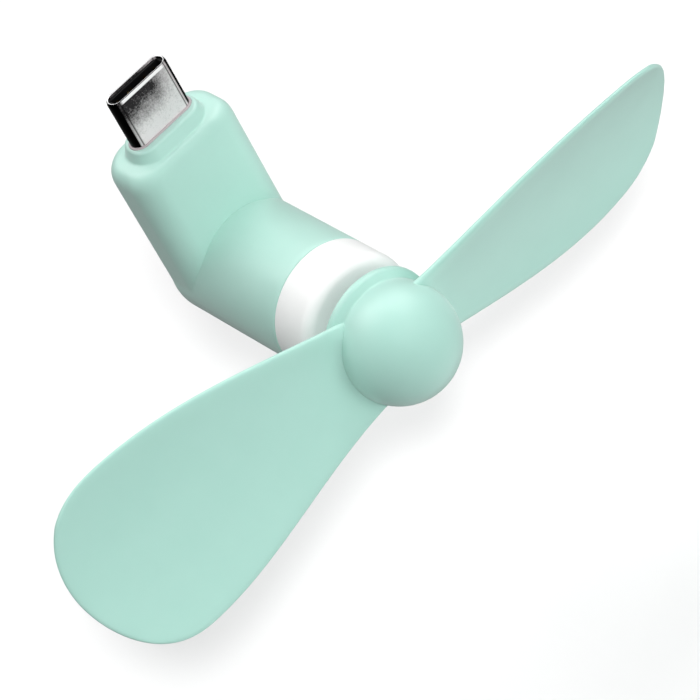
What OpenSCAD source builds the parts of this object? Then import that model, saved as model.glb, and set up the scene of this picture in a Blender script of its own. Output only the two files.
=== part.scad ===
// Small plug-in phone fan: a soft L-shaped body with a USB-C plug at the top
// and a brushed motor in its barrel, and a two-blade soft propeller.
// Frame: +Z runs up the plug, the fan blows towards -Y, +X is the width.
// The origin is on the seat round the plug, at the plug's centre line.

/* [Plug] */
// Width of the plug's metal shell
plug_w = 8.25; // [8.2:0.05:8.3]
// Thickness of the plug's metal shell
plug_t = 2.4; // [2.35:0.05:2.45]
// How far the plug stands out of its seat
plug_reach = 6.65; // [6.2:0.05:7]
// Sheet thickness of the metal shell
plug_wall = 0.3; // [0.25:0.05:0.35]

/* [Body] */
// Width of the upright block
block_w = 14.8; // [14.2:0.1:14.8]
// Depth of the upright block, front to back
block_d = 8.2; // [7.8:0.1:8.6]
// Drop from the plug's seat to the motor's axis
axis_drop = 20.4; // [19:0.1:22]
// Outer diameter of the motor barrel
barrel_d = 15; // [15:0.1:15.6]
// Distance from the plug's axis to the joint between body and front ring
barrel_reach = 17.1; // [16.5:0.1:17.5]
// Radius of the block's corners and of the barrel's rear edge
corner_r = 3; // [2:0.1:3.4]
// Width of the collar round the plug
collar_w = 9.9; // [9.5:0.1:11]
// Depth of the collar round the plug
collar_d = 5.2; // [4.6:0.1:5.8]
// Height of the collar
collar_h = 1.5; // [1:0.1:2]
// Wall thickness of the soft body
wall = 1.2; // [1.1:0.05:1.25]

/* [Front ring] */
// Length of the visible front ring
ring_l = 5.5; // [5.2:0.1:6]
// Thickness of the ring's front face
ring_face = 1.2; // [1:0.1:1.4]
// Radius of the ring's front edge
ring_edge = 1.2; // [0.8:0.1:1.2]

/* [Motor] */
// Outer diameter of the motor can
can_d = 12.3; // [12:0.05:12.35]
// Length of the motor can
can_l = 15; // [14.8:0.1:15.2]
// Diameter of the motor shaft
shaft_d = 1.5; // [1.4:0.1:1.6]
// Radial clearance of the shaft in its bearings and in the hub
running_gap = 0.02; // [0.01:0.01:0.05]

/* [Propeller] */
// Diameter swept by the blade tips
span = 88; // [80:1:92]
// Radius of the ball hub
hub_r = 6.8; // [6.5:0.1:7]
// Radius of the skirt at the back of the hub
skirt_r = 7.3; // [7:0.1:7.6]
// Thickness of the skirt
skirt_t = 1; // [0.8:0.1:1.4]
// Greatest width of a blade
blade_w = 22.5; // [18:0.1:24]
// Thickness of a blade
blade_t = 1.1; // [1:0.1:1.8]
// Pitch of a blade at its root, in degrees
root_pitch = 15; // [10:1:25]
// Pitch of a blade at its tip, in degrees
tip_pitch = 29; // [20:1:32]

/* [Hidden] */

$fn = 72;
cut = 0.5;                       // how far a cutter runs past a face
snug = 0.02;                     // gap round a piece that is pressed in
slip = 0.05;                     // gap round a piece that drops in

// Stations along the motor axis, measured forwards from the plug's axis
back_y = block_d / 2;            // the body's flat back, behind the plug's axis
ring_front = barrel_reach + ring_l;
can_front = ring_front - ring_face;
can_rear = can_front - can_l;
cap_rear = can_rear - 1;
cap_l = can_rear - cap_rear;
core_from = can_rear + 4.6;
core_to = core_from + 6;
drum_from = can_rear + 1.6;
magnet_from = core_from - 0.8;
magnet_to = magnet_from + 8;
hub_centre = ring_front + 6.4;
hub_back = ring_front + 2.6;
shaft_from = cap_rear - 0.7;
shaft_to = hub_centre + 3;
front_washer = can_front - 1.7;
rear_washer = can_rear + 0.75;
hub_core_from = hub_back + 0.6;
hub_core_to = shaft_to + 0.8;

// Radii about the motor axis
barrel_r = barrel_d / 2;
can_r = can_d / 2;
can_sheet = 0.5;
can_bore_r = can_r - can_sheet;
bore_r = can_r + slip;
shaft_r = shaft_d / 2;
bearing_r = shaft_r + running_gap;
bush_r = 1.5;
bush_set = 0.2;                  // how far the front bush sits below the boss's face
rear_bush_r = 1.75;
boss_r = 2;
neck_bore_r = bore_r - 1;        // the step that the motor rests against
lip_r = bore_r + 0.6;            // rebate for the ring's lip
lip_l = 1.4;
magnet_r = 4.5;
core_r = 4.3;
core_hub_r = 1.4;
shoe_r = 3.5;                    // inside of the core's pole shoes
neck_w = 1.2;                    // width of the core's pole necks
bar_r = 1.7;
washer_r = 1.3;
washer_t = 0.35;
insulator_t = 0.3;
hub_core_r = 2.2;

// The plug's inside
carrier_w = plug_w - 2 * plug_wall;
carrier_t = plug_t - 2 * plug_wall;
plug_tail = 3.5;                 // how far the shell runs down inside the body
slot_w = 7;
slot_t = 1.1;
contact_t = 0.15;
contact_w = 0.26;
contact_pitch = 0.5;
upper_places = [1, 4, 5, 9, 12];
lower_places = [1, 4, 9, 12];
latch_t = 0.2;
bump = 0.1;                      // how far a contact's end stands out of its strip
flange_h = 0.15;                 // how far the flange stands out of the collar
flange_depth = 0.4;
flange_w = 0.25;                 // width of the flange round the shell

// The circuit board hangs below the plug, on the plug's mid-plane
board_t = 0.8;
board_w = 9.5;
board_top = -plug_tail - 2 * slip;
board_l = 9;
chip_z = board_top - 3.6;
wire_d = 0.9;
wire_x = 2.2;
wire_lift = 0.1;                 // gap between a wire and the board
wire_y = -board_t / 2 - wire_d / 2 - wire_lift;
wire_top = board_top - board_l + 2;
terminal_x = 2.9;
terminal_up = 3.2;               // height of the terminals above the motor axis
terminal_t = 0.4;
terminal_w = 1.4;
terminal_l = 5.2;
wire_bend = 1.1;
wire_low = -axis_drop + terminal_up + terminal_t + wire_d / 2;
solder_from = cap_rear - 0.65;    // where a wire ends on its terminal

// The blade
tip_r = span / 2;
wide_r = 0.757 * tip_r;          // radius at which the blade is widest
root_half = 0.222 * blade_w;
wide_half = blade_w / 2;
outline_ease = 0.726;            // share of the outline that swells like a wave from the root
tip_fill = 2.7;                  // how far the full width carries on towards the tip
tip_point = 0.52;                // 0.5 is a round tip, more is a sharper one
tip_thinning = 0.45;             // share of the thickness that is lost by the tip
edge_round = 0.5;
blade_root = 1;
blade_from = hub_centre - 1.4;   // the blade's mid-plane along the motor axis
blade_camber = 0.015;
design_r = 40;                   // radius that the sweep and the tip's pitch are given at
sweep_root = -0.4;
sweep_rise = 7.5;
sweep_fall = 3.9;
blade_stations = 20;
blade_ring = 24;

mint = [0.73, 0.89, 0.84];
pale_mint = [0.70, 0.87, 0.81];
cream = [0.93, 0.94, 0.92];

// Puts its children on the motor axis, with their z running forwards
module on_motor_axis() {
    translate([0, 0, -axis_drop])
        rotate([90, 0, 0])
            children();
}

// A plain ring or disc between two stations on the motor axis
module axis_ring(from, to, outer, inner) {
    translate([0, 0, from])
        difference() {
            cylinder(r = outer, h = to - from);
            translate([0, 0, -cut])
                cylinder(r = inner, h = to - from + 2 * cut);
        }
}

// A flat triangle that opens by half_angle to each side of +X
module wedge(half_angle) {
    far = 2 * can_d;
    polygon([[0, 0], [far * cos(half_angle), far * sin(half_angle)],
             [far * cos(half_angle), -far * sin(half_angle)]]);
}

module rounded_rect(w, d, r) {
    square([w - 2 * r, d], center = true);
    square([w, d - 2 * r], center = true);
    for (sx = [-1, 1], sy = [-1, 1])
        translate([sx * (w / 2 - r), sy * (d / 2 - r)])
            circle(r = r);
}

// A flat slot outline with full round ends
module stadium(w, t) {
    square([w - t, t], center = true);
    for (s = [-1, 1])
        translate([s * (w - t) / 2, 0])
            circle(r = t / 2);
}

module upright(from, to) {
    translate([0, 0, from])
        linear_extrude(height = to - from)
            children();
}

// ---- body ----

module block() {
    round_top = 1.8;
    low = -axis_drop;
    high = -collar_h;
    intersection() {
        upright(low, high)
            rounded_rect(block_w, block_d, corner_r);
        translate([0, block_d, 0])
            rotate([90, 0, 0])
                linear_extrude(height = 2 * block_d)
                    translate([0, (low + high) / 2 - block_w / 2])
                        rounded_rect(block_w, high - low + block_w, round_top);
        translate([-block_w, 0, 0])
            rotate([90, 0, 90])
                linear_extrude(height = 2 * block_w)
                    translate([0, (low + high) / 2 - block_w / 2])
                        rounded_rect(block_d, high - low + block_w, round_top);
    }
}

module barrel() {
    on_motor_axis()
        rotate_extrude()
            difference() {
                union() {
                    translate([0, -back_y])
                        square([barrel_r - corner_r, corner_r + cut]);
                    translate([0, corner_r - back_y])
                        square([barrel_r, barrel_reach + back_y - corner_r]);
                    translate([barrel_r - corner_r, corner_r - back_y])
                        circle(r = corner_r);
                }
                translate([-2 * barrel_r, -back_y - cut])
                    square([2 * barrel_r, barrel_reach + 2 * back_y]);
            }
}

module body_shell() {
    collar_r = collar_d / 2 - 0.2;
    lip_space = 0.1;
    color(mint)
        difference() {
            union() {
                block();
                barrel();
                upright(-collar_h - cut, 0)
                    rounded_rect(collar_w, collar_d, collar_r);
            }
            upright(-axis_drop, -collar_h - wall)
                rounded_rect(block_w - 2 * wall, block_d - 2 * wall, corner_r - wall);
            upright(-plug_tail, cut)
                stadium(plug_w, plug_t);
            upright(-flange_depth, cut)
                flange_outline();
            on_motor_axis() {
                translate([0, 0, cap_rear])
                    cylinder(r = bore_r, h = barrel_reach);
                translate([0, 0, barrel_reach - lip_l - lip_space])
                    cylinder(r = lip_r, h = barrel_reach);
                translate([0, 0, wall - back_y])
                    cylinder(r = neck_bore_r, h = barrel_reach);
            }
        }
}

module front_ring() {
    color(cream)
        on_motor_axis()
            difference() {
                rotate_extrude()
                    union() {
                        translate([0, barrel_reach - lip_l])
                            square([lip_r - slip, lip_l + cut]);
                        translate([0, barrel_reach])
                            square([barrel_r, ring_l - ring_edge]);
                        translate([0, barrel_reach])
                            square([barrel_r - ring_edge, ring_l]);
                        intersection() {
                            translate([barrel_r - ring_edge, ring_front - ring_edge])
                                circle(r = ring_edge);
                            translate([0, barrel_reach])
                                square([barrel_r, ring_l]);
                        }
                    }
                translate([0, 0, barrel_reach - lip_l - cut])
                    cylinder(r = bore_r, h = can_front - barrel_reach + lip_l + cut);
                cylinder(r = boss_r + 2 * slip, h = ring_front + cut);
            }
}

// Rigid sleeve that holds the plug and the top of the board in the soft body
module plug_sleeve() {
    sleeve_l = 7.5;
    sleeve_wall = 0.9;
    sleeve_corner = 0.6;
    sleeve_top = -collar_h - wall;
    sleeve_low = sleeve_top - sleeve_l;
    outside = 2 * (wall + 2 * slip);
    inside = outside + 2 * sleeve_wall;
    color("ivory")
        difference() {
            upright(sleeve_low, sleeve_top)
                rounded_rect(block_w - outside, block_d - outside, corner_r - outside / 2);
            upright(sleeve_low - cut, -plug_tail)
                rounded_rect(block_w - inside, block_d - inside, sleeve_corner);
            upright(sleeve_low, 0)
                stadium(plug_w, plug_t);
        }
}

// ---- plug ----

module plug_shell() {
    color("silver")
        difference() {
            upright(-plug_tail, plug_reach)
                stadium(plug_w, plug_t);
            upright(-plug_tail - cut, plug_reach + cut)
                stadium(carrier_w, carrier_t);
        }
}

module flange_outline() {
    stadium(plug_w + 2 * flange_w, plug_t + 2 * flange_w);
}

module plug_flange() {
    color("gainsboro")
        difference() {
            upright(-flange_depth, flange_h)
                flange_outline();
            upright(-plug_tail, plug_reach)
                stadium(plug_w, plug_t);
        }
}

function contact_x(place) = (place - 6.5) * contact_pitch;

// One row of contacts, side 1 at the back and -1 at the front
module contact_row(places, side) {
    over_board = 1.6;
    below_mouth = 0.9;
    bump_l = 0.8;
    bump_from = plug_reach - 2.4;
    for (place = places)
        translate([contact_x(place) - contact_w / 2, 0, 0]) {
            translate([0, min(side * board_t / 2, side * slot_t / 2), board_top - over_board])
                cube([contact_w, contact_t, plug_reach - below_mouth - board_top + over_board]);
            translate([0, side > 0 ? board_t / 2 - bump : -board_t / 2, bump_from])
                cube([contact_w, bump, bump_l]);
        }
}

module upper_contacts() {
    color("gold") contact_row(upper_places, 1);
}

module lower_contacts() {
    color("gold") contact_row(lower_places, -1);
}

// Side latches joined by a bar across the back
module latch_spring() {
    arm_y = 0.5;
    arm_l = 9;
    nub = [0.25, arm_y, 0.6];
    nub_z = plug_reach - 1.9;
    bar = [slot_w - 2 * latch_t, 0.3, 0.6];
    color("lightgray") {
        for (s = [-1, 1]) {
            translate([s * (slot_w - latch_t) / 2, 0, arm_l / 2 - plug_tail])
                cube([latch_t, arm_y, arm_l], center = true);
            translate([s * (slot_w / 2 - latch_t - nub.x / 2), 0, nub_z])
                cube(nub, center = true);
        }
        translate([0, 0, bar.z / 2 - plug_tail])
            cube(bar, center = true);
    }
}

module ground_springs() {
    leaf = [5.6, 0.12, 3];
    leaf_z = plug_reach - 2.6;
    color("silver")
        for (s = [-1, 1])
            translate([0, s * (carrier_t - leaf.y) / 2, leaf_z])
                cube(leaf, center = true);
}

module contact_carrier() {
    below_mouth = 0.35;
    slot_floor = 0.2;
    color("dimgray")
        difference() {
            upright(-plug_tail, plug_reach - below_mouth)
                stadium(carrier_w, carrier_t);
            upright(slot_floor, plug_reach + cut)
                square([slot_w, slot_t], center = true);
            contact_row(upper_places, 1);
            contact_row(lower_places, -1);
            latch_spring();
            ground_springs();
        }
}

// ---- board and wiring ----

module circuit_board() {
    color("seagreen")
        translate([-board_w / 2, -board_t / 2, board_top - board_l])
            cube([board_w, board_t, board_l]);
}

// A block of size [width, thickness, height] on the board's front face
module chip(x, z, size) {
    translate([x - size.x / 2, -board_t / 2 - size.y, z - size.z / 2])
        cube(size);
}

module id_resistor() {
    color("dimgray") chip(-1.2, chip_z, [1.6, 0.45, 0.8]);
}

module filter_capacitor() {
    color("tan") chip(1.9, chip_z, [2, 0.7, 1.25]);
}

module board_solder() {
    pad = [1.3, wire_d / 2 + wire_lift, 1.4];
    color("silver")
        for (s = [-1, 1])
            chip(s * wire_x, wire_top + pad.z / 2, pad);
}

// A wire runs down from the board and turns forwards onto its terminal
module wire(side) {
    straight = wire_top - wire_low - wire_bend;
    reach = solder_from + wire_y - wire_bend;
    translate([side * wire_x, wire_y, 0]) {
        translate([0, 0, wire_top - straight])
            cylinder(d = wire_d, h = straight);
        translate([0, -wire_bend, wire_low + wire_bend])
            rotate([0, 90, 0])
                rotate_extrude(angle = 90)
                    translate([wire_bend, 0])
                        circle(d = wire_d);
        translate([0, -wire_bend, wire_low])
            rotate([90, 0, 0])
                cylinder(d = wire_d, h = reach);
    }
}

module red_wire() {
    color("firebrick") wire(1);
}

module black_wire() {
    color("black") wire(-1);
}

module terminal_solder() {
    blob = [1.3, 0.3, 0.6];
    outwards = 0.2;
    color("silver")
        on_motor_axis()
            for (s = [-1, 1])
                translate([s * (wire_x + outwards), terminal_up + terminal_t + blob.y / 2,
                           solder_from + blob.z / 2])
                    cube(blob, center = true);
}

// ---- motor, fixed side ----

module motor_can() {
    shaft_hole_r = shaft_r + 0.2;
    color("lightsteelblue")
        on_motor_axis()
            difference() {
                union() {
                    translate([0, 0, can_rear])
                        cylinder(r = can_r, h = can_l);
                    translate([0, 0, can_front])
                        cylinder(r = boss_r, h = ring_face);
                }
                translate([0, 0, can_rear - cut])
                    cylinder(r = can_bore_r, h = can_l - can_sheet + cut);
                translate([0, 0, can_rear])
                    cylinder(r = bush_r, h = can_l + ring_face - bush_set);
                cylinder(r = shaft_hole_r, h = ring_front + cut);
            }
}

module front_bush() {
    inside = 1.2;
    color("goldenrod")
        on_motor_axis()
            axis_ring(can_front - inside, ring_front - bush_set, bush_r, bearing_r);
}

module end_cap() {
    spigot_l = 1;
    boss_h = 1;
    cap_boss_r = 2.6;
    color("darkslategray")
        on_motor_axis()
            difference() {
                translate([0, 0, cap_rear]) {
                    cylinder(r = can_r - slip, h = cap_l);
                    cylinder(r = can_bore_r - snug, h = cap_l + spigot_l);
                    translate([0, 0, -boss_h])
                        cylinder(r = cap_boss_r, h = 2 * boss_h);
                }
                translate([0, 0, cap_rear - boss_h - cut])
                    cylinder(r = rear_bush_r, h = cap_l + boss_h + spigot_l + 2 * cut);
                for (s = [-1, 1])
                    terminal_bar(s);
            }
}

module rear_bush() {
    overhang = 0.8;
    inside = 0.6;
    color("goldenrod")
        on_motor_axis()
            axis_ring(cap_rear - overhang, can_rear + inside, rear_bush_r, bearing_r);
}

// Arc magnet centred on the +X or -X side of the can
module arc_magnet(side) {
    half_angle = 57;
    on_motor_axis()
        intersection() {
            axis_ring(magnet_from, magnet_to, can_bore_r - snug, magnet_r);
            rotate(side > 0 ? 0 : 180)
                translate([0, 0, magnet_from - cut])
                    linear_extrude(height = magnet_to - magnet_from + 2 * cut)
                        wedge(half_angle);
        }
}

module left_magnet() {
    color("dimgray") arc_magnet(-1);
}

module right_magnet() {
    color("dimgray") arc_magnet(1);
}

module magnet_spring() {
    leaf = [3.4, 0.3, magnet_to - magnet_from - 1];
    off_wall = 0.35;
    color("silver")
        on_motor_axis()
            translate([0, -can_bore_r + off_wall + leaf.y / 2, (magnet_from + magnet_to) / 2])
                cube(leaf, center = true);
}

// In the motor's own frame
module terminal_bar(side) {
    bar_z = cap_rear + 0.6;
    translate([side * terminal_x, terminal_up + terminal_t / 2, bar_z])
        cube([terminal_w, terminal_t, terminal_l], center = true);
}

// A leaf that lies along the commutator, hung from a strip under its terminal
module brush(side) {
    leaf_x = bar_r + 0.06;
    leaf_t = 0.15;
    leaf_w = 1.4;
    leaf_below = 2.2;
    leaf_from = can_rear + 2;
    strip_from = can_rear + 1;
    strip_x = terminal_x + 0.5;
    on_motor_axis() {
        translate([side > 0 ? leaf_x : -leaf_x - leaf_t, -leaf_below, leaf_from])
            cube([leaf_t, leaf_below + terminal_up, leaf_w]);
        translate([side > 0 ? leaf_x : -strip_x, terminal_up - leaf_t, strip_from])
            cube([strip_x - leaf_x, leaf_t, leaf_from + leaf_w - strip_from]);
    }
}

module left_brush() {
    color("peru") brush(-1);
}

module right_brush() {
    color("peru") brush(1);
}

module left_terminal() {
    color("silver") on_motor_axis() terminal_bar(-1);
}

module right_terminal() {
    color("silver") on_motor_axis() terminal_bar(1);
}

// ---- motor, turning side ----

module motor_shaft() {
    color("silver")
        on_motor_axis()
            translate([0, 0, shaft_from])
                cylinder(r = shaft_r, h = shaft_to - shaft_from);
}

// Outline of the three-pole core, or of its insulators
module three_pole(outer) {
    shoe_angle = 53;
    circle(r = core_hub_r);
    for (pole = [0:2])
        rotate(90 + 120 * pole) {
            translate([core_hub_r / 2, -neck_w / 2])
                square([shoe_r, neck_w]);
            intersection() {
                difference() {
                    circle(r = outer);
                    circle(r = shoe_r);
                }
                wedge(shoe_angle);
            }
        }
}

module armature_core() {
    color("slategray")
        on_motor_axis()
            difference() {
                translate([0, 0, core_from])
                    linear_extrude(height = core_to - core_from)
                        three_pole(core_r);
                cylinder(r = shaft_r, h = ring_front);
            }
}

module core_insulators() {
    inset = 0.2;
    color("saddlebrown")
        on_motor_axis()
            difference() {
                for (z = [core_from - insulator_t, core_to])
                    translate([0, 0, z])
                        linear_extrude(height = insulator_t)
                            three_pole(core_r - inset);
                cylinder(r = shaft_r, h = ring_front);
            }
}

// The winding of one pole: a rectangular coil round the pole's neck
module coil(pole) {
    coil_end = 0.55;
    coil_r = 2.35;
    coil_h = 1.6;
    coil_w = 2.6;
    mid = (core_from + core_to) / 2;
    neck_l = core_to - core_from + 2 * insulator_t;
    color("chocolate")
        on_motor_axis()
            rotate(90 + 120 * pole)
                translate([coil_r, 0, mid])
                    difference() {
                        cube([coil_h, coil_w, neck_l + 2 * coil_end], center = true);
                        cube([coil_h + 2 * cut, neck_w, neck_l], center = true);
                    }
}

module coil_1() {
    coil(0);
}

module coil_2() {
    coil(1);
}

module coil_3() {
    coil(2);
}

module commutator_drum() {
    color("black")
        on_motor_axis()
            axis_ring(drum_from, core_from - 0.5, core_hub_r, shaft_r);
}

module commutator_bars() {
    slot = 0.3;
    bars_from = drum_from + 0.2;
    bars_l = 1.8;
    color("orange")
        on_motor_axis()
            difference() {
                axis_ring(bars_from, bars_from + bars_l, bar_r, core_hub_r);
                for (gap = [0:2])
                    rotate(30 + 120 * gap)
                        translate([0, -slot / 2, bars_from - cut])
                            cube([2 * bar_r, slot, bars_l + 2 * cut]);
            }
}

module shaft_spacer() {
    spacer_r = 1.1;
    color("white")
        on_motor_axis()
            axis_ring(core_to + insulator_t, front_washer, spacer_r, shaft_r);
}

module shaft_washers() {
    color("white")
        on_motor_axis()
            for (from = [rear_washer, front_washer])
                axis_ring(from, from + washer_t, washer_r, shaft_r);
}

// ---- propeller ----

// Rigid sleeve that grips the shaft inside the soft hub
module hub_core() {
    past_shaft = 0.2;
    color("white")
        on_motor_axis()
            difference() {
                translate([0, 0, hub_core_from])
                    cylinder(r = hub_core_r, h = hub_core_to - hub_core_from);
                translate([0, 0, hub_core_from - cut])
                    cylinder(r = bearing_r, h = shaft_to + past_shaft - hub_core_from + cut);
            }
}

// Half the blade's width at radius r, from how far it is on the way to its widest place or past it
function rise(u) =
    outline_ease * (3 * u * u - 2 * u * u * u) + (1 - outline_ease) * u * (2 - u);
function past(r) = (r - wide_r) / (tip_r - wide_r);
function half_width(r) =
    r < wide_r ? root_half + (wide_half - root_half) * rise(r / wide_r)
               : wide_half * pow(1 - pow(past(r), tip_fill), tip_point);

// How far the blade's centre line is swept back from its radius
function sweep(r) = let (s = r / design_r) sweep_root + sweep_rise * s - sweep_fall * s * s;
function pitch(r) = root_pitch + (tip_pitch - root_pitch) * r / design_r;
function thickness(r) = blade_t * (1 - tip_thinning * r / tip_r);

function blade_point(r, angle) =
    let (c = sweep(r) + half_width(r) * cos(angle),
         up = thickness(r) / 2 * sign(sin(angle)) * pow(abs(sin(angle)), edge_round))
    [r, -c * cos(pitch(r)), blade_from - c * sin(pitch(r)) + blade_camber * c * c + up];

// Stations crowd together towards the tip and stop just short of it
function station_r(i) =
    blade_root + (tip_r - snug - blade_root) * sin(90 * i / (blade_stations - 1));

module blade() {
    last = blade_stations - 1;
    points = [for (i = [0:last], j = [0:blade_ring - 1])
                  blade_point(station_r(i), 360 * j / blade_ring)];
    sides = [for (i = [0:last - 1], j = [0:blade_ring - 1])
                 let (k = (j + 1) % blade_ring,
                      a = i * blade_ring + j, b = i * blade_ring + k)
                 each [[a, b, b + blade_ring], [a, b + blade_ring, a + blade_ring]]];
    root = [for (j = [0:blade_ring - 1]) blade_ring - 1 - j];
    tip = [for (j = [0:blade_ring - 1]) last * blade_ring + j];
    polyhedron(points = points, faces = concat(sides, [root, tip]), convexity = 4);
}

module hub() {
    rotate_extrude()
        intersection() {
            union() {
                translate([0, hub_centre])
                    circle(r = hub_r);
                translate([0, hub_back])
                    square([skirt_r, skirt_t]);
            }
            translate([0, hub_back])
                square([2 * hub_r, 3 * hub_r]);
        }
}

module propeller() {
    recess_h = 1.6;
    recess_outer_r = 5.7;
    recess_inner_r = 3.3;
    color(pale_mint)
        on_motor_axis()
            difference() {
                union() {
                    hub();
                    blade();
                    rotate(180)
                        blade();
                }
                translate([0, 0, hub_back - cut])
                    cylinder(r = hub_core_r, h = hub_core_to - hub_back + cut);
                axis_ring(hub_back - cut, hub_back + recess_h, recess_outer_r, recess_inner_r);
            }
}

body_shell();
front_ring();
plug_sleeve();
plug_shell();
plug_flange();
contact_carrier();
upper_contacts();
lower_contacts();
latch_spring();
ground_springs();
circuit_board();
id_resistor();
filter_capacitor();
board_solder();
red_wire();
black_wire();
terminal_solder();
motor_can();
front_bush();
end_cap();
rear_bush();
left_magnet();
right_magnet();
magnet_spring();
left_brush();
right_brush();
left_terminal();
right_terminal();
motor_shaft();
armature_core();
core_insulators();
coil_1();
coil_2();
coil_3();
commutator_drum();
commutator_bars();
shaft_spacer();
shaft_washers();
hub_core();
propeller();
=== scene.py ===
import math

import bmesh
import bpy
from mathutils import Matrix, Vector


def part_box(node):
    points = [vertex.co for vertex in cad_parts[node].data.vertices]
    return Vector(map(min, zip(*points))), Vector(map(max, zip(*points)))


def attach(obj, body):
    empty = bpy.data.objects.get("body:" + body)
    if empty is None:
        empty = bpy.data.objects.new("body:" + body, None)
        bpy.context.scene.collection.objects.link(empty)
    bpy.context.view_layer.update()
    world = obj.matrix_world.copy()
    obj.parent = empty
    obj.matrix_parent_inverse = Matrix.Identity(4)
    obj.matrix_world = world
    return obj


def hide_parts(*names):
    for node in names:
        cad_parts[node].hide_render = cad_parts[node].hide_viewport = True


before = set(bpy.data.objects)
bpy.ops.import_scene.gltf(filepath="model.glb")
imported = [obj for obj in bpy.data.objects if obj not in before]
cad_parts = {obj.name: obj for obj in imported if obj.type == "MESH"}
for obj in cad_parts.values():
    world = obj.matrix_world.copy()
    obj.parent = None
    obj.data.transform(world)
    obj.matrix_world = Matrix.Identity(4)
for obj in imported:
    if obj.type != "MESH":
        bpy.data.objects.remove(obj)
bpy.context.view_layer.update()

MM = 0.001

# ---- places and sizes, from the frame ----

shell_low, shell_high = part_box("body_shell")
ring_low, ring_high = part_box("front_ring")
plug_low, plug_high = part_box("plug_shell")
rim_low, rim_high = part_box("plug_flange")
fan_low, fan_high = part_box("propeller")
core_low, core_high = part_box("hub_core")
can_low, can_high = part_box("motor_can")

AXIS_Z = (ring_low.z + ring_high.z) / 2
AXIS = Vector((0, 0, AXIS_Z))
BARREL_R = (ring_high.x - ring_low.x) / 2
BACK_Y = shell_high.y
JOINT_Y = shell_low.y
RING_FRONT_Y = ring_low.y
PLUG_W = plug_high.x - plug_low.x
PLUG_T = plug_high.y - plug_low.y
TIP_R = (fan_high.x - fan_low.x) / 2
CAN_R = (can_high.x - can_low.x) / 2
BORE_R = CAN_R + 0.05 * MM
CORE_R = (core_high.x - core_low.x) / 2

# ---- bmesh helpers ----


def finish_piece(bm, name, material, sharp=35):
    """Turns a bmesh into a named object with outward faces and smooth shading up to an angle."""
    bmesh.ops.remove_doubles(bm, verts=bm.verts, dist=0.002 * MM)
    bmesh.ops.recalc_face_normals(bm, faces=bm.faces)
    mesh = bpy.data.meshes.new(name)
    bm.to_mesh(mesh)
    bm.free()
    piece = bpy.data.objects.new(name, mesh)
    bpy.context.scene.collection.objects.link(piece)
    mesh.materials.append(material)
    smooth_by_angle(mesh, sharp)
    return piece


def smooth_by_angle(mesh, degrees):
    """Smooth shading, except along edges that turn by more than the angle."""
    mesh.polygons.foreach_set("use_smooth", [True] * len(mesh.polygons))
    mesh.set_sharp_from_angle(angle=math.radians(degrees))


def add_modifiers(piece, *settings):
    """Adds modifiers, each given as a type and its settings, and makes their result the piece's mesh."""
    for kind, values in settings:
        modifier = piece.modifiers.new(kind.title(), kind)
        for key, value in values.items():
            setattr(modifier, key, value)
    graph = bpy.context.evaluated_depsgraph_get()
    graph.update()
    mesh = bpy.data.meshes.new_from_object(piece.evaluated_get(graph))
    mesh.name = piece.name
    piece.modifiers.clear()
    piece.data = mesh


def combine(piece, operation, *tools):
    """Joins tools to the piece or cuts them out of it, and removes the tools."""
    for tool in tools:
        add_modifiers(piece, ("BOOLEAN", {"operation": operation, "solver": "EXACT", "object": tool}))
        bpy.data.objects.remove(tool)


def arc(centre, radius, start, end, steps):
    """Points on an arc in the plane of a turned profile, angles in degrees."""
    points = []
    for i in range(steps + 1):
        angle = math.radians(start + (end - start) * i / steps)
        points.append((centre[0] + radius * math.cos(angle), centre[1] + radius * math.sin(angle)))
    return points


def rounded(corners, steps=6):
    """Points of a profile whose corners, given as (radius, y, rounding), are cut to arcs."""
    points = []
    for i, (radius, y, rounding) in enumerate(corners):
        corner = Vector((radius, y))
        if rounding == 0:
            points.append(tuple(corner))
            continue
        before = (Vector(corners[i - 1][:2]) - corner).normalized()
        after = (Vector(corners[(i + 1) % len(corners)][:2]) - corner).normalized()
        half = before.angle(after) / 2
        centre = corner + (before + after).normalized() * rounding / math.sin(half)
        start = corner + before * rounding / math.tan(half) - centre
        turn = start.angle_signed(corner + after * rounding / math.tan(half) - centre)
        for k in range(steps + 1):
            points.append(tuple(centre + Matrix.Rotation(-turn * k / steps, 2) @ start))
    return points


def run(start, end, spacing):
    """Points along a straight stretch of a profile, so that shading stays local to its ends."""
    count = max(1, round(math.dist(start, end) / spacing))
    return [tuple(Vector(start).lerp(Vector(end), i / count)) for i in range(count + 1)]


def turned(name, profile, material, steps=96, closed=False):
    """Spins a profile of (radius, y) points, in metres, about the motor axis."""
    bm = bmesh.new()
    verts = [bm.verts.new((radius, y, AXIS_Z)) for radius, y in profile]
    pairs = list(zip(verts, verts[1:]))
    if closed:
        pairs.append((verts[-1], verts[0]))
    for a, b in pairs:
        bm.edges.new((a, b))
    bmesh.ops.spin(bm, geom=bm.verts[:] + bm.edges[:], cent=AXIS, axis=(0, 1, 0),
                   angle=2 * math.pi, steps=steps, use_merge=True)
    return finish_piece(bm, name, material)


def outline_point(k, corner_steps, width, depth, radius):
    """The k-th point round a rounded rectangle centred on the plug's axis."""
    corner, step = divmod(k, corner_steps + 1)
    angle = math.radians(90 * (corner + step / corner_steps))
    side_x = 1 if corner in (0, 3) else -1
    side_y = 1 if corner in (0, 1) else -1
    return Vector((side_x * (width / 2 - radius) + radius * math.cos(angle),
                   side_y * (depth / 2 - radius) + radius * math.sin(angle), 0))


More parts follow.
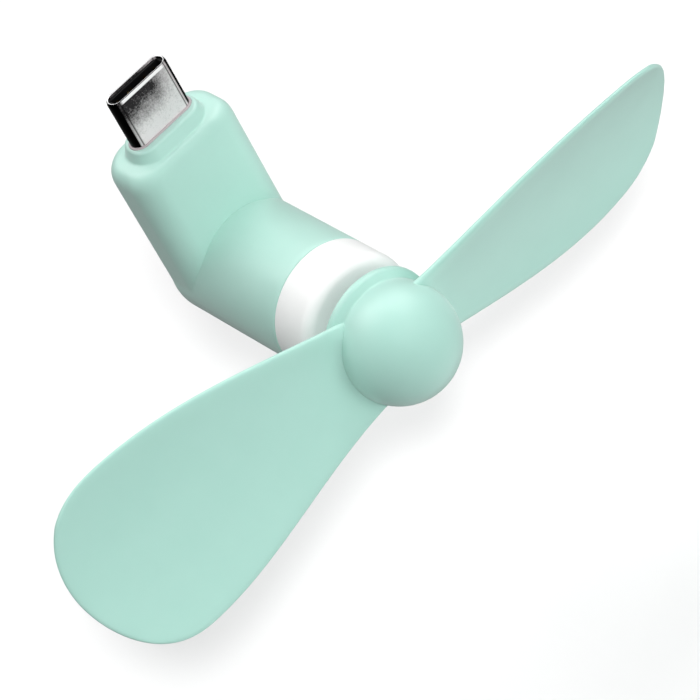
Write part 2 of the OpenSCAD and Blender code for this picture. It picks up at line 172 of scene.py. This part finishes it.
def stacked(name, levels, material, corner_steps=12, sharp=35, tube=False):
    """Extrudes a rounded rectangle through levels of (z, width, depth, corner radius), in metres.

    A tube's last level is joined back to its first; any other stack is capped at both ends.
    """
    bm = bmesh.new()
    place = bm.verts.layers.int.new("place")
    ring = bmesh.ops.create_circle(bm, segments=4 * (corner_steps + 1), radius=1)["verts"]
    for k, vert in enumerate(ring):
        vert[place] = k
    edges = bm.edges[:]
    for index, (z, width, depth, radius) in enumerate(levels):
        if index > 0:
            grown = bmesh.ops.extrude_edge_only(bm, edges=edges)["geom"]
            ring = [part for part in grown if isinstance(part, bmesh.types.BMVert)]
            edges = [part for part in grown if isinstance(part, bmesh.types.BMEdge)]
        for vert in ring:
            flat = outline_point(vert[place], corner_steps, width, depth, radius)
            vert.co = flat + Vector((0, 0, z))
    ends = [edge for edge in bm.edges if edge.is_boundary]
    if tube:
        bmesh.ops.bridge_loops(bm, edges=ends)
    else:
        bmesh.ops.holes_fill(bm, edges=ends, sides=0)
    return finish_piece(bm, name, material, sharp)


def stadium(z, width, depth):
    """A level whose short ends are round."""
    return (z, width, depth, depth / 2 - 0.001 * MM)


# ---- materials ----


def new_material(name):
    material = bpy.data.materials.new(name)
    material.use_nodes = True
    nodes = material.node_tree.nodes
    return material, nodes, material.node_tree.links, nodes["Principled BSDF"]


def object_noise(nodes, links, scale, detail=4, roughness=0.55, stretch=(1, 1, 1)):
    """Noise on Object coordinates; scale is in features per metre."""
    where = nodes.new("ShaderNodeTexCoord")
    mapping = nodes.new("ShaderNodeMapping")
    mapping.inputs["Scale"].default_value = stretch
    noise = nodes.new("ShaderNodeTexNoise")
    noise.inputs["Scale"].default_value = scale
    noise.inputs["Detail"].default_value = detail
    noise.inputs["Roughness"].default_value = roughness
    links.new(where.outputs["Object"], mapping.inputs["Vector"])
    links.new(mapping.outputs["Vector"], noise.inputs["Vector"])
    return noise.outputs["Fac"]


def ramp(nodes, links, source, low, high, start=0.3, end=0.7):
    """Maps a 0 to 1 value onto two colours or two numbers."""
    if isinstance(low, tuple):
        node = nodes.new("ShaderNodeValToRGB")
        node.color_ramp.elements[0].position = start
        node.color_ramp.elements[0].color = (*low, 1)
        node.color_ramp.elements[1].position = end
        node.color_ramp.elements[1].color = (*high, 1)
        links.new(source, node.inputs["Fac"])
        return node.outputs["Color"]
    node = nodes.new("ShaderNodeMapRange")
    node.inputs["From Min"].default_value = start
    node.inputs["From Max"].default_value = end
    node.inputs["To Min"].default_value = low
    node.inputs["To Max"].default_value = high
    links.new(source, node.inputs["Value"])
    return node.outputs["Result"]


def bump(nodes, links, shader, source, depth):
    """Raises the surface by a 0 to 1 value times a depth in metres."""
    node = nodes.new("ShaderNodeBump")
    node.inputs["Strength"].default_value = 1
    node.inputs["Distance"].default_value = depth
    links.new(source, node.inputs["Height"])
    links.new(node.outputs["Normal"], shader.inputs["Normal"])


def surface(name, light, dark, rough, metallic=0, mottle=400, grain=6000, grain_depth=0.002 * MM,
            stretch=(1, 1, 1), **values):
    """A finish with a slightly varied colour, a varied roughness and a fine grain."""
    material, nodes, links, shader = new_material(name)
    patches = object_noise(nodes, links, mottle, stretch=stretch)
    links.new(ramp(nodes, links, patches, dark, light), shader.inputs["Base Color"])
    links.new(ramp(nodes, links, patches, rough[0], rough[1]), shader.inputs["Roughness"])
    shader.inputs["Metallic"].default_value = metallic
    bump(nodes, links, shader, object_noise(nodes, links, grain, 3, 0.6, stretch), grain_depth)
    for key, value in values.items():
        shader.inputs[key.replace("_", " ")].default_value = value
    return material


def soft_mint(name, light, dark):
    """Soft-touch moulded rubber: a satin skin with a very fine spark-eroded texture."""
    material = surface(name, light, dark, (0.42, 0.50), mottle=260, grain=9000,
                       grain_depth=0.0035 * MM, Subsurface_Weight=0.12, Subsurface_Scale=0.0012,
                       Sheen_Weight=0.25, Sheen_Roughness=0.5, Specular_IOR_Level=0.9,
                       Coat_Weight=0.5, Coat_Roughness=0.48)
    material.node_tree.nodes["Principled BSDF"].inputs["Subsurface Radius"].default_value = (0.8, 1.0, 0.9)
    return material


def maths(nodes, links, operation, first, second):
    """One Math node; either input may be a socket or a number."""
    node = nodes.new("ShaderNodeMath")
    node.operation = operation
    for socket, value in zip(node.inputs, (first, second)):
        if isinstance(value, (int, float)):
            socket.default_value = value
        else:
            links.new(value, socket)
    return node.outputs["Value"]


def drawn_steel():
    """Bright drawn steel with random clouding and speckle, and painted reflections: painted shade darkening
    it towards the mouth, weaker towards the right end, painted dark bands along its rolled ends, a painted
    highlight band at the lead-in and a painted highlight line on the lip.
    """
    material, nodes, links, shader = new_material("plug_steel")
    where = nodes.new("ShaderNodeTexCoord")
    axes = nodes.new("ShaderNodeSeparateXYZ")
    links.new(where.outputs["Object"], axes.inputs["Vector"])
    x, y, z = (axes.outputs[name] for name in "XYZ")
    top = plug_high.z

    clouds = ramp(nodes, links, object_noise(nodes, links, 620, 3, 0.6), -0.16, 0.16)
    speckle = ramp(nodes, links, object_noise(nodes, links, 5200, 3, 0.7), -0.20, 0.20)
    # Painted reflection: the next two ramps darken the steel towards the mouth, fully on the left and in the
    # middle, and less towards the right end.
    rise = ramp(nodes, links, z, 0.0, 1.0, top - 5.4 * MM, top - 1.4 * MM)
    painted_shade_by_side = ramp(nodes, links, x, 1.0, 0.30, 0.8 * MM, 3.1 * MM)
    dark = maths(nodes, links, "MULTIPLY", maths(nodes, links, "ADD", rise, clouds), painted_shade_by_side)
    dark = maths(nodes, links, "ADD", dark, speckle)
    # The colour runs from pale steel to near black. It combines random clouding and speckle with the painted
    # reflection's darkening.
    cloud_and_painted_reflection_tone = ramp(nodes, links, dark, (0.95, 0.88, 0.895), (0.030, 0.026, 0.028), 0.06, 1.0)

    # Painted reflection on the rolled ends: a dark band, a light line, then black towards the outer end,
    # multiplied into the steel's colour.
    ends = nodes.new("ShaderNodeValToRGB")
    straight = PLUG_W / 2 - PLUG_T / 2
    stops = ((0.16, 1.0), (0.28, 0.10), (0.40, 1.0), (0.50, 0.70), (0.56, 0.0))
    for index, (place, level) in enumerate(stops):
        element = ends.color_ramp.elements[index] if index < 2 else ends.color_ramp.elements.new(place)
        element.position = place
        element.color = (level, level, level, 1)
    side = maths(nodes, links, "ABSOLUTE", x, 0)
    links.new(ramp(nodes, links, side, 0.0, 1.0, straight, PLUG_W / 2), ends.inputs["Fac"])
    shade = nodes.new("ShaderNodeMix")
    shade.data_type = "RGBA"
    shade.blend_type = "MULTIPLY"
    shade.inputs["Factor"].default_value = 1
    links.new(cloud_and_painted_reflection_tone, shade.inputs["A"])
    links.new(ends.outputs["Color"], shade.inputs["B"])

    past_flat = maths(nodes, links, "MAXIMUM", maths(nodes, links, "SUBTRACT", side, straight), 0)
    square = maths(nodes, links, "ADD", maths(nodes, links, "POWER", past_flat, 2),
                   maths(nodes, links, "MULTIPLY", y, y))
    reach = maths(nodes, links, "SQRT", square, 0)
    lip_edge = PLUG_T / 2 - 0.15 * MM

    # Painted highlight: a near-white band on the outer flat faces of the lead-in, stopping just below the
    # lip.
    lead_in = ramp(nodes, links, z, 0.0, 1.0, top - 0.46 * MM, top - 0.40 * MM)
    flat = ramp(nodes, links, side, 1.0, 0.0, straight, straight + 0.35 * MM)
    below_lip = ramp(nodes, links, z, 1.0, 0.0, top - 0.07 * MM, top - 0.04 * MM)
    outside = ramp(nodes, links, reach, 0.0, 1.0, PLUG_T / 2 - 0.24 * MM, PLUG_T / 2 - 0.20 * MM)
    for mask in (flat, below_lip, outside):
        lead_in = maths(nodes, links, "MULTIPLY", lead_in, mask)
    painted_lead_in_highlight = nodes.new("ShaderNodeMix")
    painted_lead_in_highlight.data_type = "RGBA"
    painted_lead_in_highlight.inputs["B"].default_value = (0.97, 0.97, 0.97, 1)
    links.new(lead_in, painted_lead_in_highlight.inputs["Factor"])
    links.new(shade.outputs["Result"], painted_lead_in_highlight.inputs["A"])

    # Painted highlight on the lip's top: a light line on its inner part, with its outer part painted black.
    lip = nodes.new("ShaderNodeMix")
    lip.data_type = "RGBA"
    links.new(ramp(nodes, links, z, 0.0, 1.0, top - 0.08 * MM, top - 0.05 * MM), lip.inputs["Factor"])
    links.new(painted_lead_in_highlight.outputs["Result"], lip.inputs["A"])
    painted_lip_highlight = ramp(nodes, links, reach, 0.95, 0.0, lip_edge - 0.01 * MM, lip_edge + 0.01 * MM)
    links.new(painted_lip_highlight, lip.inputs["B"])
    links.new(lip.outputs["Result"], shader.inputs["Base Color"])
    links.new(ramp(nodes, links, side, 0.25, 0.02, straight, PLUG_W / 2 - 0.6 * MM),
              shader.inputs["Specular IOR Level"])
    links.new(ramp(nodes, links, clouds, 0.26, 0.36), shader.inputs["Roughness"])
    links.new(ramp(nodes, links, lead_in, 0.40, 0.15, 0, 1), shader.inputs["Metallic"])
    bump(nodes, links, shader, speckle, 0.0004 * MM)
    return material


MINT = soft_mint("soft_mint", (0.465, 0.745, 0.660), (0.450, 0.730, 0.645))
BLADE_MINT = soft_mint("blade_mint", (0.435, 0.725, 0.640), (0.420, 0.710, 0.625))
WHITE = surface("white_plastic", (0.93, 0.93, 0.925), (0.91, 0.91, 0.905), (0.48, 0.56),
                grain_depth=0.0008 * MM)
NATURAL = surface("natural_plastic", (0.80, 0.77, 0.74), (0.76, 0.73, 0.70), (0.42, 0.52))
RIM_GREY = surface("rim_grey", (0.50, 0.45, 0.465), (0.45, 0.405, 0.42), (0.42, 0.52))
PLUG_STEEL = drawn_steel()
BLACK = surface("black_insulator", (0.006, 0.006, 0.0065), (0.004, 0.004, 0.0045), (0.5, 0.65),
                Specular_IOR_Level=0.2)
GOLD = surface("gold_contact", (0.83, 0.60, 0.24), (0.76, 0.53, 0.20), (0.2, 0.3), 1)
SPRING = surface("spring_steel", (0.62, 0.62, 0.63), (0.52, 0.52, 0.53), (0.25, 0.35), 1)
BOARD = surface("board_green", (0.02, 0.16, 0.07), (0.015, 0.13, 0.055), (0.25, 0.35),
                Coat_Weight=0.3)
CHIP_BLACK = surface("chip_black", (0.03, 0.03, 0.03), (0.02, 0.02, 0.02), (0.3, 0.4))
CHIP_TAN = surface("chip_tan", (0.42, 0.29, 0.17), (0.36, 0.24, 0.14), (0.4, 0.5))
SOLDER = surface("solder", (0.75, 0.75, 0.76), (0.62, 0.62, 0.63), (0.2, 0.4), 1)
RED = surface("red_jacket", (0.55, 0.02, 0.015), (0.48, 0.015, 0.01), (0.35, 0.45))
BLACK_WIRE = surface("black_jacket", (0.02, 0.02, 0.02), (0.015, 0.015, 0.015), (0.35, 0.45))
CAN_STEEL = surface("can_steel", (0.62, 0.63, 0.65), (0.52, 0.53, 0.55), (0.25, 0.4), 1)
BRONZE = surface("bronze", (0.50, 0.32, 0.15), (0.42, 0.26, 0.12), (0.35, 0.5), 1)
FERRITE = surface("ferrite", (0.05, 0.05, 0.052), (0.035, 0.035, 0.037), (0.55, 0.7))
BRUSH_COPPER = surface("brush_copper", (0.70, 0.36, 0.20), (0.62, 0.30, 0.16), (0.25, 0.35), 1)
TINNED = surface("tinned", (0.74, 0.74, 0.74), (0.64, 0.64, 0.64), (0.3, 0.45), 1)
SHAFT_STEEL = surface("shaft_steel", (0.72, 0.72, 0.73), (0.66, 0.66, 0.67), (0.12, 0.2), 1,
                      grain=4000, stretch=(1, 0.15, 1))
LAMINATION = surface("lamination", (0.30, 0.31, 0.34), (0.22, 0.23, 0.25), (0.35, 0.5), 1,
                     stretch=(0.2, 6, 0.2))
FIBRE = surface("fibre", (0.30, 0.15, 0.07), (0.24, 0.12, 0.05), (0.6, 0.75))
WINDING = surface("winding", (0.55, 0.17, 0.05), (0.40, 0.11, 0.03), (0.25, 0.35), 1,
                  stretch=(0.3, 0.3, 4), grain_depth=0.02 * MM)
COPPER = surface("copper", (0.80, 0.42, 0.24), (0.70, 0.34, 0.18), (0.2, 0.35), 1)

NODE_MATERIALS = {
    "plug_sleeve": NATURAL, "plug_flange": RIM_GREY, "contact_carrier": BLACK,
    "upper_contacts": GOLD, "lower_contacts": GOLD, "latch_spring": SPRING,
    "ground_springs": SPRING, "circuit_board": BOARD, "id_resistor": CHIP_BLACK,
    "filter_capacitor": CHIP_TAN, "board_solder": SOLDER, "red_wire": RED,
    "black_wire": BLACK_WIRE, "terminal_solder": SOLDER, "motor_can": CAN_STEEL,
    "front_bush": BRONZE, "end_cap": BLACK, "rear_bush": BRONZE, "left_magnet": FERRITE,
    "right_magnet": FERRITE, "magnet_spring": SPRING, "left_brush": BRUSH_COPPER,
    "right_brush": BRUSH_COPPER, "left_terminal": TINNED, "right_terminal": TINNED,
    "motor_shaft": SHAFT_STEEL, "armature_core": LAMINATION, "core_insulators": FIBRE,
    "coil_1": WINDING, "coil_2": WINDING, "coil_3": WINDING, "commutator_drum": BLACK,
    "commutator_bars": COPPER, "shaft_spacer": NATURAL, "shaft_washers": NATURAL,
    "hub_core": WHITE, "body_shell": MINT, "front_ring": WHITE, "plug_shell": PLUG_STEEL,
    "propeller": BLADE_MINT,
}


def dress_cad_nodes():
    """Gives every node of the frame its own finish; the meshes are left as they are."""
    for name, material in NODE_MATERIALS.items():
        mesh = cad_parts[name].data
        mesh.materials.clear()
        mesh.materials.append(material)


# ---- the soft body ----

WALL = 1.2 * MM
CORNER_R = 3 * MM
SHOULDER_Z = -1.5 * MM


def shoulder_levels(width, depth):
    """The block's straight walls and the rounding of its top edge, wider at the ends than in front."""
    drop = 2.3 * MM
    fullness = 0.85
    levels = [(z, width, depth, CORNER_R) for z, _ in run((AXIS_Z, 0), (SHOULDER_Z - drop, 0), 0.8 * MM)]
    for i in range(1, 11):
        angle = math.radians(9 * i)
        fall = 1 - math.cos(angle) ** fullness
        z = SHOULDER_Z - drop * (1 - math.sin(angle) ** fullness)
        levels.append((z, width - 3.5 * MM * fall, depth - 1.7 * MM * fall, CORNER_R - 0.2 * MM * fall))
    return levels


def collar_levels():
    """The collar's hollow fillet, its tapered wall, its rolled edge and the seat cut into it."""
    base = (10.1 * MM, 5.9 * MM, 2.8 * MM)
    top = (9.5 * MM, 4.9 * MM, 2.2 * MM)
    levels = []
    fillet = 0.45 * MM
    for i in range(6):
        angle = math.radians(18 * i)
        out = fillet * (1 - math.sin(angle))
        levels.append((SHOULDER_Z + 0.02 * MM + fillet * (1 - math.cos(angle)) * 0.6, base[0] + 2 * out,
                       base[1] + 0.9 * out, base[2] + 0.4 * out))
    edge = 0.42 * MM
    for i in range(8):
        angle = math.radians(90 * i / 7)
        shrink = 2 * edge * (1 - math.cos(angle))
        levels.append((-edge * (1 - math.sin(angle)), top[0] - shrink, top[1] - shrink, top[2] - shrink / 2))
    slip = 0.04 * MM
    seat = (rim_high.x - rim_low.x + slip, rim_high.y - rim_low.y + slip)
    levels.append(stadium(0, *seat))
    levels.append(stadium(plug_low.z - 0.1 * MM, *seat))
    return levels


def soft_body():
    """L-shaped moulding: a rounded block with a collar on top, run into the motor barrel."""
    width = 2 * BARREL_R - 0.16 * MM
    depth = 2 * BACK_Y
    body = stacked("soft_body", shoulder_levels(width, depth) + collar_levels(), MINT, corner_steps=16)

    lip = 0.12 * MM
    straight = run((BARREL_R, BACK_Y - CORNER_R), (BARREL_R, JOINT_Y + lip), 0.7 * MM)
    profile = [(0, BACK_Y)] + arc((BARREL_R - CORNER_R, BACK_Y - CORNER_R), CORNER_R, 90, 0, 14)
    profile += straight[1:] + [(BARREL_R - 0.3 * lip, JOINT_Y + 0.3 * lip), (BARREL_R - lip, JOINT_Y)]
    barrel = turned("barrel_tool", profile + [(0, JOINT_Y)], MINT, steps=128)
    combine(body, "UNION", barrel)

    neck = BORE_R - 1 * MM
    step_y = can_high.y + 1 * MM
    rebate = 1.5 * MM
    rebate_r = BORE_R + 0.6 * MM
    motor_room = turned("motor_tool", [
        (0, BACK_Y - WALL), (neck, BACK_Y - WALL), (neck, step_y), (BORE_R, step_y),
        (BORE_R, JOINT_Y + rebate), (rebate_r, JOINT_Y + rebate), (rebate_r, JOINT_Y - rebate),
        (0, JOINT_Y - rebate)], MINT, steps=96)
    room = (width - 2 * WALL, depth - 2 * WALL, CORNER_R - WALL)
    board_room = stacked("board_tool", [(AXIS_Z, *room), (SHOULDER_Z - WALL, *room)], MINT, 6)
    combine(body, "DIFFERENCE", motor_room, board_room)
    smooth_by_angle(body.data, 40)
    return body


def front_ring():
    """White ring that closes the barrel, with a rolled front edge and a hole for the motor's boss."""
    hole = 2.1 * MM
    step_r = BORE_R + 0.55 * MM
    face_back = RING_FRONT_Y + 1.2 * MM
    tail = JOINT_Y + 1.4 * MM
    back = JOINT_Y - 0.05 * MM
    profile = rounded([
        (BARREL_R, back, 0.12 * MM), (BARREL_R, RING_FRONT_Y, 1.3 * MM), (hole, RING_FRONT_Y, 0.3 * MM),
        (hole, face_back, 0), (BORE_R, face_back, 0), (BORE_R, tail, 0), (step_r, tail, 0),
        (step_r, back, 0)], 12)
    return turned("white_front_ring", profile, WHITE, steps=128, closed=True)


# ---- the plug ----


def plug_shell():
    """Drawn steel shell with a coned lead-in at its mouth and a rolled inner lip."""
    wall = 0.3 * MM
    top = plug_high.z
    lead_in = 0.42 * MM
    narrow = 0.11 * MM
    steps = [(plug_low.z, 0), (top - lead_in - 0.08 * MM, 0), (top - lead_in, 0.006 * MM),
             (top - 0.06 * MM, narrow - 0.01 * MM), (top - 0.015 * MM, narrow + 0.02 * MM),
             (top, narrow + 0.055 * MM), (top - 0.015 * MM, narrow + 0.09 * MM),
             (top - 0.06 * MM, wall - 0.02 * MM), (top - 0.12 * MM, wall), (plug_low.z, wall)]
    levels = [stadium(z, PLUG_W - 2 * inset, PLUG_T - 2 * inset) for z, inset in steps]
    return stacked("drawn_plug_shell", levels, PLUG_STEEL, corner_steps=20, sharp=25, tube=True)


def plug_rim():
    """Thin pale rim round the plug's base, with a rounded outer edge."""
    width = rim_high.x - rim_low.x
    depth = rim_high.y - rim_low.y
    edge = 0.10 * MM
    slip = 0.008 * MM
    steps = [(rim_low.z, 0), (rim_high.z - edge, 0), (rim_high.z - 0.3 * edge, 0.3 * edge),
             (rim_high.z, edge)]
    levels = [stadium(z, width - 2 * inset, depth - 2 * inset) for z, inset in steps]
    for z in (rim_high.z, rim_low.z):
        levels.append(stadium(z, PLUG_W + slip, PLUG_T + slip))
    return stacked("plug_base_rim", levels, RIM_GREY, corner_steps=16, tube=True)


# ---- the propeller ----

HUB_R = 6.8 * MM
SKIRT_R = 7.3 * MM
HUB_GAP = 2.6 * MM
HUB_BACK_Y = RING_FRONT_Y - HUB_GAP
HUB_CENTRE_Y = RING_FRONT_Y - 6.4 * MM
BLADE_Y = HUB_CENTRE_Y + 1.4 * MM
POCKET_R = CORE_R + 0.02 * MM
POCKET_FLOOR_Y = core_low.y - 0.02 * MM
WIDE_R = 0.757 * TIP_R
WIDE_AT = 0.72
DESIGN_R = 40 * MM
CAMBER = 15
BLADE_HALF = 11.2 * MM
ROOT_HALF = 4.95 * MM
TIP_FILL = 2.7
TIP_POINT = 0.52
BLADE_T = 1.1 * MM
TIP_THINNING = 0.45
EDGE_ROLL = 1.5 * MM


def half_width(r):
    """Half the blade's width between its root and its widest place."""
    u = r / WIDE_R
    rise = 0.726 * (3 * u * u - 2 * u ** 3) + 0.274 * u * (2 - u)
    return ROOT_HALF + (BLADE_HALF - ROOT_HALF) * rise


def sweep(r):
    """How far the blade's middle line bends away from a straight radius."""
    s = r / DESIGN_R
    return (-0.4 + 7.5 * s - 3.9 * s * s) * MM


def pitch(r):
    """The blade's twist, steeper towards the tip."""
    return math.radians(15 + 14 * r / DESIGN_R)


def blade_thickness(r, from_axis, edge):
    """Thin towards the tip, rolled off near the edge, and filled out where the blade meets the ball."""
    into = min(edge / EDGE_ROLL, 1)
    roll = 0.30 + 0.70 * math.sqrt(1 - (1 - into) ** 2)
    fillet = 0.8 * MM * math.exp(-max(from_axis - HUB_R, 0) / (0.40 * MM)) * into
    return BLADE_T * (1 - TIP_THINNING * r / TIP_R) * roll + fillet


def blade_place(u, v, root):
    """Where a point of the flat blade goes, with its station, distance from the axis and from the edge.

    u runs from root to tip and v across from -1 to 1; the rows crowd together at the edges.
    """
    v = 0.45 * v + 0.55 * math.sin(math.pi / 2 * v)
    if u <= WIDE_AT:
        r = root + (WIDE_R - root) * (u / WIDE_AT) ** 1.5
        across = half_width(r) * v
        edge = half_width(r) * (1 - abs(v))
    else:
        a = (u - WIDE_AT) / (1 - WIDE_AT)
        a = 0.5 * a + 0.5 * math.sin(math.pi / 2 * a)
        s = a * math.sqrt(1 - v * v / 2)
        w = v * math.sqrt(1 - a * a / 2)
        r = WIDE_R + (TIP_R - WIDE_R) * s
        side = w / math.sqrt(max(1 - s * s, 1e-6))
        across = BLADE_HALF * side * max(1 - s ** TIP_FILL, 0) ** TIP_POINT
        edge = BLADE_HALF * (1 - max(a, abs(v)))
    c = sweep(r) + across
    place = Vector((r, BLADE_Y + c * math.sin(pitch(r)) - CAMBER * c * c, AXIS_Z - c * math.cos(pitch(r))))
    return place, r, math.hypot(r, c), edge


def blade_tool(turn):
    """One blade as a thick, round-edged leaf, turned about the motor axis by turn degrees."""
    root = 3.4 * MM
    bm = bmesh.new()
    bmesh.ops.create_grid(bm, x_segments=72, y_segments=40, size=1)
    thick = []
    for vert in bm.verts:
        vert.co, r, from_axis, edge = blade_place((vert.co.x + 1) / 2, vert.co.y, root)
        thick.append(blade_thickness(r, from_axis, edge))
    most = max(thick)
    blade = finish_piece(bm, "blade_tool", BLADE_MINT)
    group = blade.vertex_groups.new(name="thickness")
    for index, value in enumerate(thick):
        group.add([index], value / most, "REPLACE")
    add_modifiers(blade,
                  ("SOLIDIFY", {"thickness": most, "offset": 0, "vertex_group": "thickness"}),
                  ("SUBSURF", {"levels": 1, "render_levels": 1}))
    spin = Matrix.Translation(AXIS) @ Matrix.Rotation(math.radians(turn), 4, "Y") @ Matrix.Translation(-AXIS)
    blade.data.transform(spin)
    return blade


def hub_profile():
    """The ball, a soft groove behind it, the skirt's rounded shoulder, and the hollow back."""
    dome_end = HUB_BACK_Y - 1.90 * MM
    end = math.degrees(math.acos((dome_end - HUB_CENTRE_Y) / HUB_R))
    steps = 32
    dome = []
    for i in range(steps):
        angle = math.radians(180 + (end - 180) * i / steps)
        dome.append((HUB_R * math.sin(angle), HUB_CENTRE_Y + HUB_R * math.cos(angle)))
    dome[0] = (0, HUB_CENTRE_Y - HUB_R)
    groove_r = HUB_R * math.sin(math.radians(end))
    deep = HUB_BACK_Y - 1.6 * MM
    skirt = rounded([
        (groove_r, dome_end, 0), (groove_r - 0.10 * MM, dome_end + 0.45 * MM, 0.3 * MM),
        (SKIRT_R, dome_end + 1.15 * MM, 0.7 * MM), (SKIRT_R, HUB_BACK_Y, 0.22 * MM),
        (5.7 * MM, HUB_BACK_Y, 0.15 * MM), (5.6 * MM, deep, 0.2 * MM), (3.4 * MM, deep, 0.2 * MM),
        (3.3 * MM, HUB_BACK_Y, 0.15 * MM), (POCKET_R, HUB_BACK_Y, 0), (POCKET_R, POCKET_FLOOR_Y, 0),
        (0, POCKET_FLOOR_Y, 0)], 8)
    return dome + skirt


def propeller():
    """Soft one-piece propeller: a ball hub with a skirt, run into two wide pitched blades."""
    hub = turned("soft_propeller", hub_profile(), BLADE_MINT, steps=128)
    combine(hub, "UNION", blade_tool(0), blade_tool(180))
    mouth_y = HUB_BACK_Y + 1 * MM
    pocket = turned("pocket_tool", [(0, mouth_y), (POCKET_R, mouth_y), (POCKET_R, POCKET_FLOOR_Y),
                    (0, POCKET_FLOOR_Y)], BLADE_MINT, steps=64)
    combine(hub, "DIFFERENCE", pocket)
    smooth_by_angle(hub.data, 50)
    return hub


# ---- putting it together ----

dress_cad_nodes()


def add_piece(piece, body, slot, *nodes):
    """Puts a finished piece on its body, in place of the nodes that it stands for."""
    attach(piece, body)
    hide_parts(*nodes)


add_piece(soft_body(), "housing", "soft_mint", "body_shell")
add_piece(front_ring(), "housing", "white_plastic", "front_ring")
add_piece(plug_shell(), "housing", "plug_steel", "plug_shell")
add_piece(plug_rim(), "housing", "natural_plastic", "plug_flange")
add_piece(propeller(), "propeller_body", "blade_mint", "propeller")

# ---- camera, light and floor ----


def aimed(azimuth, elevation, roll=0):
    """Rotation of something that looks back at the fan from this azimuth and elevation, in degrees."""
    return (Matrix.Rotation(math.radians(azimuth), 4, "Z")
            @ Matrix.Rotation(math.radians(90 - elevation), 4, "X")
            @ Matrix.Rotation(math.radians(roll), 4, "Z"))


AIM = Vector((1.47, -12.1, -32.4)) * MM
VIEW_AZIMUTH = -21.85
VIEW_ELEVATION = 41.69
VIEW_ROLL = -29.3
VIEW_DISTANCE = 382.7 * MM
VIEW_LENS = 176.4
FLOOR_GAP = 2 * MM


def place_camera():
    """A long lens, high on the left and rolled, aimed between the plug and the propeller."""
    camera = bpy.data.objects.new("camera", bpy.data.cameras.new("camera"))
    bpy.context.scene.collection.objects.link(camera)
    turn = aimed(VIEW_AZIMUTH, VIEW_ELEVATION, VIEW_ROLL)
    camera.matrix_world = Matrix.Translation(AIM + turn @ Vector((0, 0, VIEW_DISTANCE))) @ turn
    camera.data.lens = VIEW_LENS
    camera.data.sensor_width = 36
    camera.data.clip_start = 0.01
    bpy.context.scene.camera = camera


def softbox(name, azimuth, elevation, watts, size=0.8, distance=1.0, glossy=True):
    """A disc lamp aimed at the fan; one that isn't glossy lights it without a highlight."""
    light = bpy.data.lights.new(name, "AREA")
    light.shape = "DISK"
    light.size = size
    light.energy = watts
    lamp = bpy.data.objects.new(name, light)
    bpy.context.scene.collection.objects.link(lamp)
    turn = aimed(azimuth, elevation)
    lamp.matrix_world = Matrix.Translation(AIM + turn @ Vector((0, 0, distance))) @ turn
    lamp.visible_glossy = glossy


def light_studio():
    """Large discs all round for an even, shadowless light, and a small key that draws soft shadows."""
    softbox("key", -19, 47, 2.7, size=0.10, distance=0.8, glossy=False)
    softbox("front_low", 15, 14, 3.5, glossy=False)
    softbox("front_high", 38, 49, 1.6, glossy=False)
    softbox("right", 111, 49, 3.6)
    softbox("rear", -174, 55, 4.2)
    softbox("rear_left", -124, 28, 0.7, glossy=False)
    softbox("under", 53, -63, 5.2, glossy=False)
    world = bpy.data.worlds.new("studio")
    bpy.context.scene.world = world
    world.use_nodes = True
    background = world.node_tree.nodes["Background"]
    background.inputs["Color"].default_value = (1, 1, 1, 1)
    background.inputs["Strength"].default_value = 0.20


def lay_floor():
    """Pale paper just below the blades' sweep, which takes shadows and lights nothing."""
    below = AXIS_Z - TIP_R - FLOOR_GAP
    bm = bmesh.new()
    bmesh.ops.create_grid(bm, x_segments=8, y_segments=8, size=3)
    bmesh.ops.translate(bm, verts=bm.verts, vec=(0, 0, below))
    paper = surface("pale_paper", (0.90, 0.90, 0.90), (0.895, 0.895, 0.895), (0.8, 0.9),
                    mottle=3, grain=900)
    floor = finish_piece(bm, "floor", paper)
    floor.visible_diffuse = False
    floor.visible_glossy = False
    floor.visible_shadow = False


place_camera()
light_studio()
lay_floor()
bpy.context.scene.view_settings.view_transform = "Standard"
